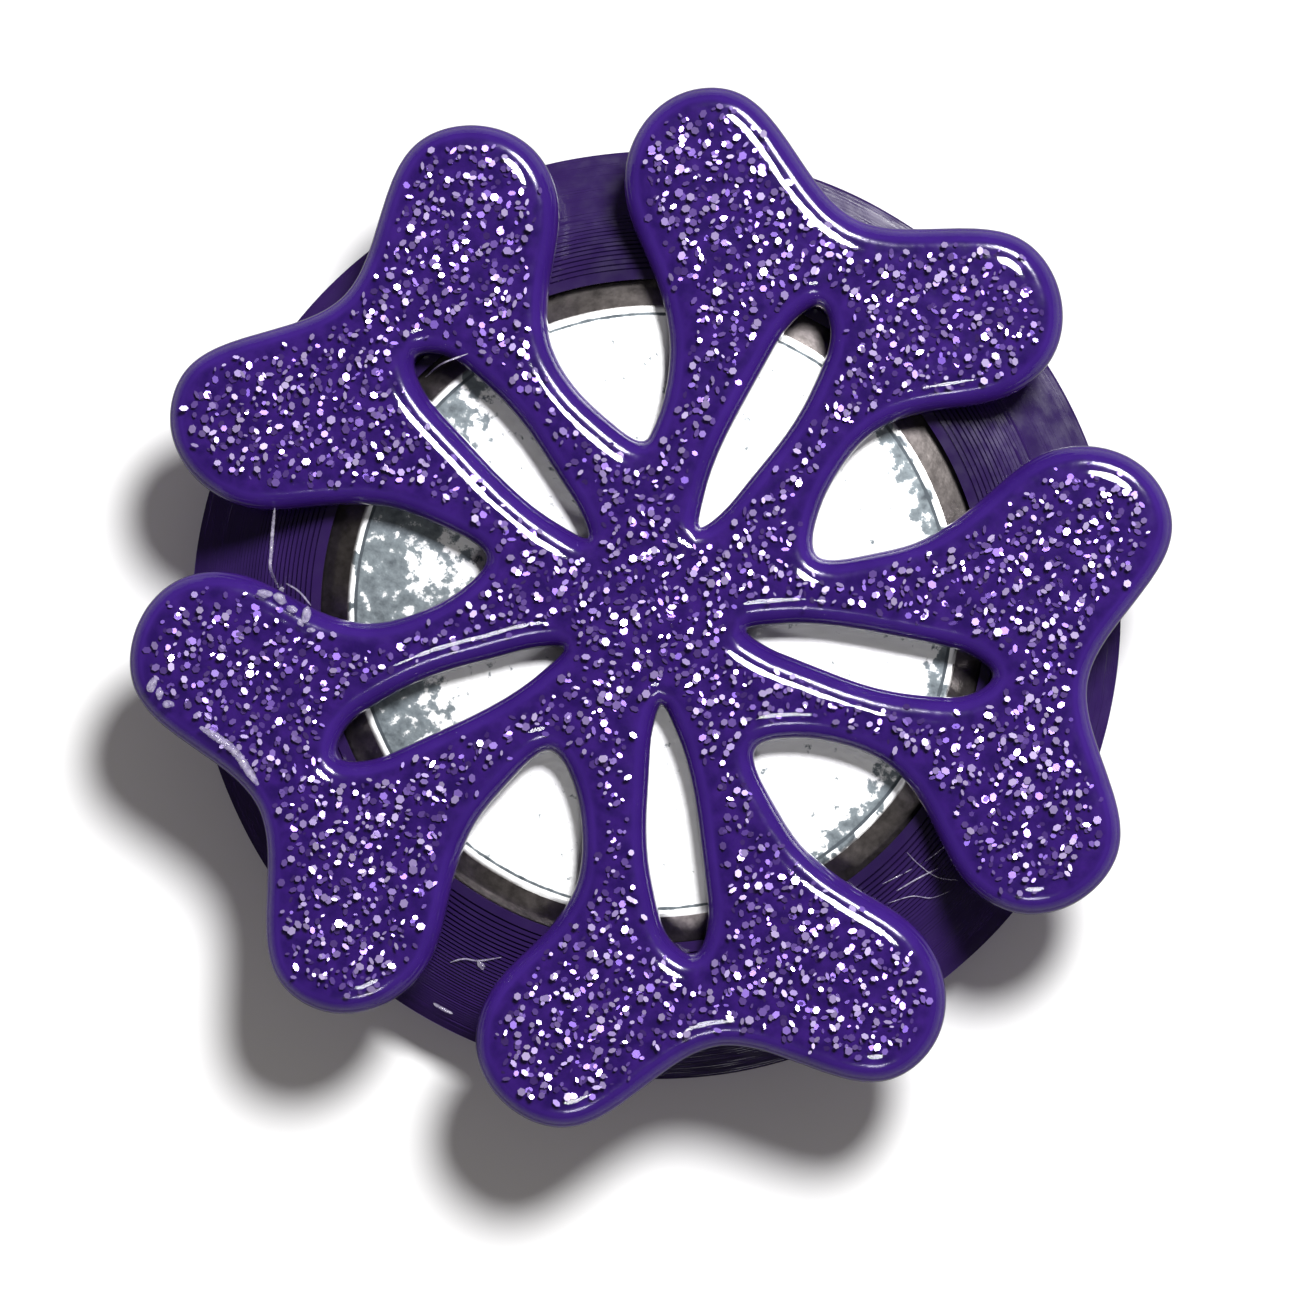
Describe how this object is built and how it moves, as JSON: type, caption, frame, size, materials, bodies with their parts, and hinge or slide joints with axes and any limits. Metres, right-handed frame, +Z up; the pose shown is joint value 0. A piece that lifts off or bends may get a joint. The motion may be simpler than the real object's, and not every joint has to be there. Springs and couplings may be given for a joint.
{
  "type": "round flower ornament",
  "caption": "Low round ornament for a circus or stage prop: a glittering open-work flower fixed over a domed ring that frames a silvery bevelled disc.",
  "frame": {"origin": "on the ornament's axis, at the middle of the foot pad's resting face", "axes": "+Z up, away from the resting face and towards the flower; +Y along one petal's axis"},
  "size_m": [0.0599, 0.0574, 0.0148],
  "materials": {
    "pad_foam": "fine closed-cell foam, dull",
    "back_plastic": "printed plastic with faint raster lines",
    "screw_steel": "zinc-plated steel",
    "white_foam": "soft white foam",
    "silver_metal": "satin silver with blotchy tarnish and a polished bevel",
    "ring_plastic": "glossy deep purple, with fine printed layer steps on the dome",
    "clear_glue": "clear set glue",
    "flower_plastic": "glossy purple with rounded edges",
    "glitter_resin": "deep purple resin packed with silver flakes",
    "clear_resin": "clear domed resin, wet-looking"
  },
  "bodies": {
    "root": {"foot_pad": "pad_foam", "back_plate": "back_plastic", "back_screws": "screw_steel", "backing_foam": "white_foam", "silver_disc": "silver_metal", "bezel_ring": "ring_plastic", "glue_beads": "clear_glue", "flower_core": "flower_plastic", "glitter_coat": "glitter_resin", "clear_coat": "clear_resin"}
  },
  "joints": []
}
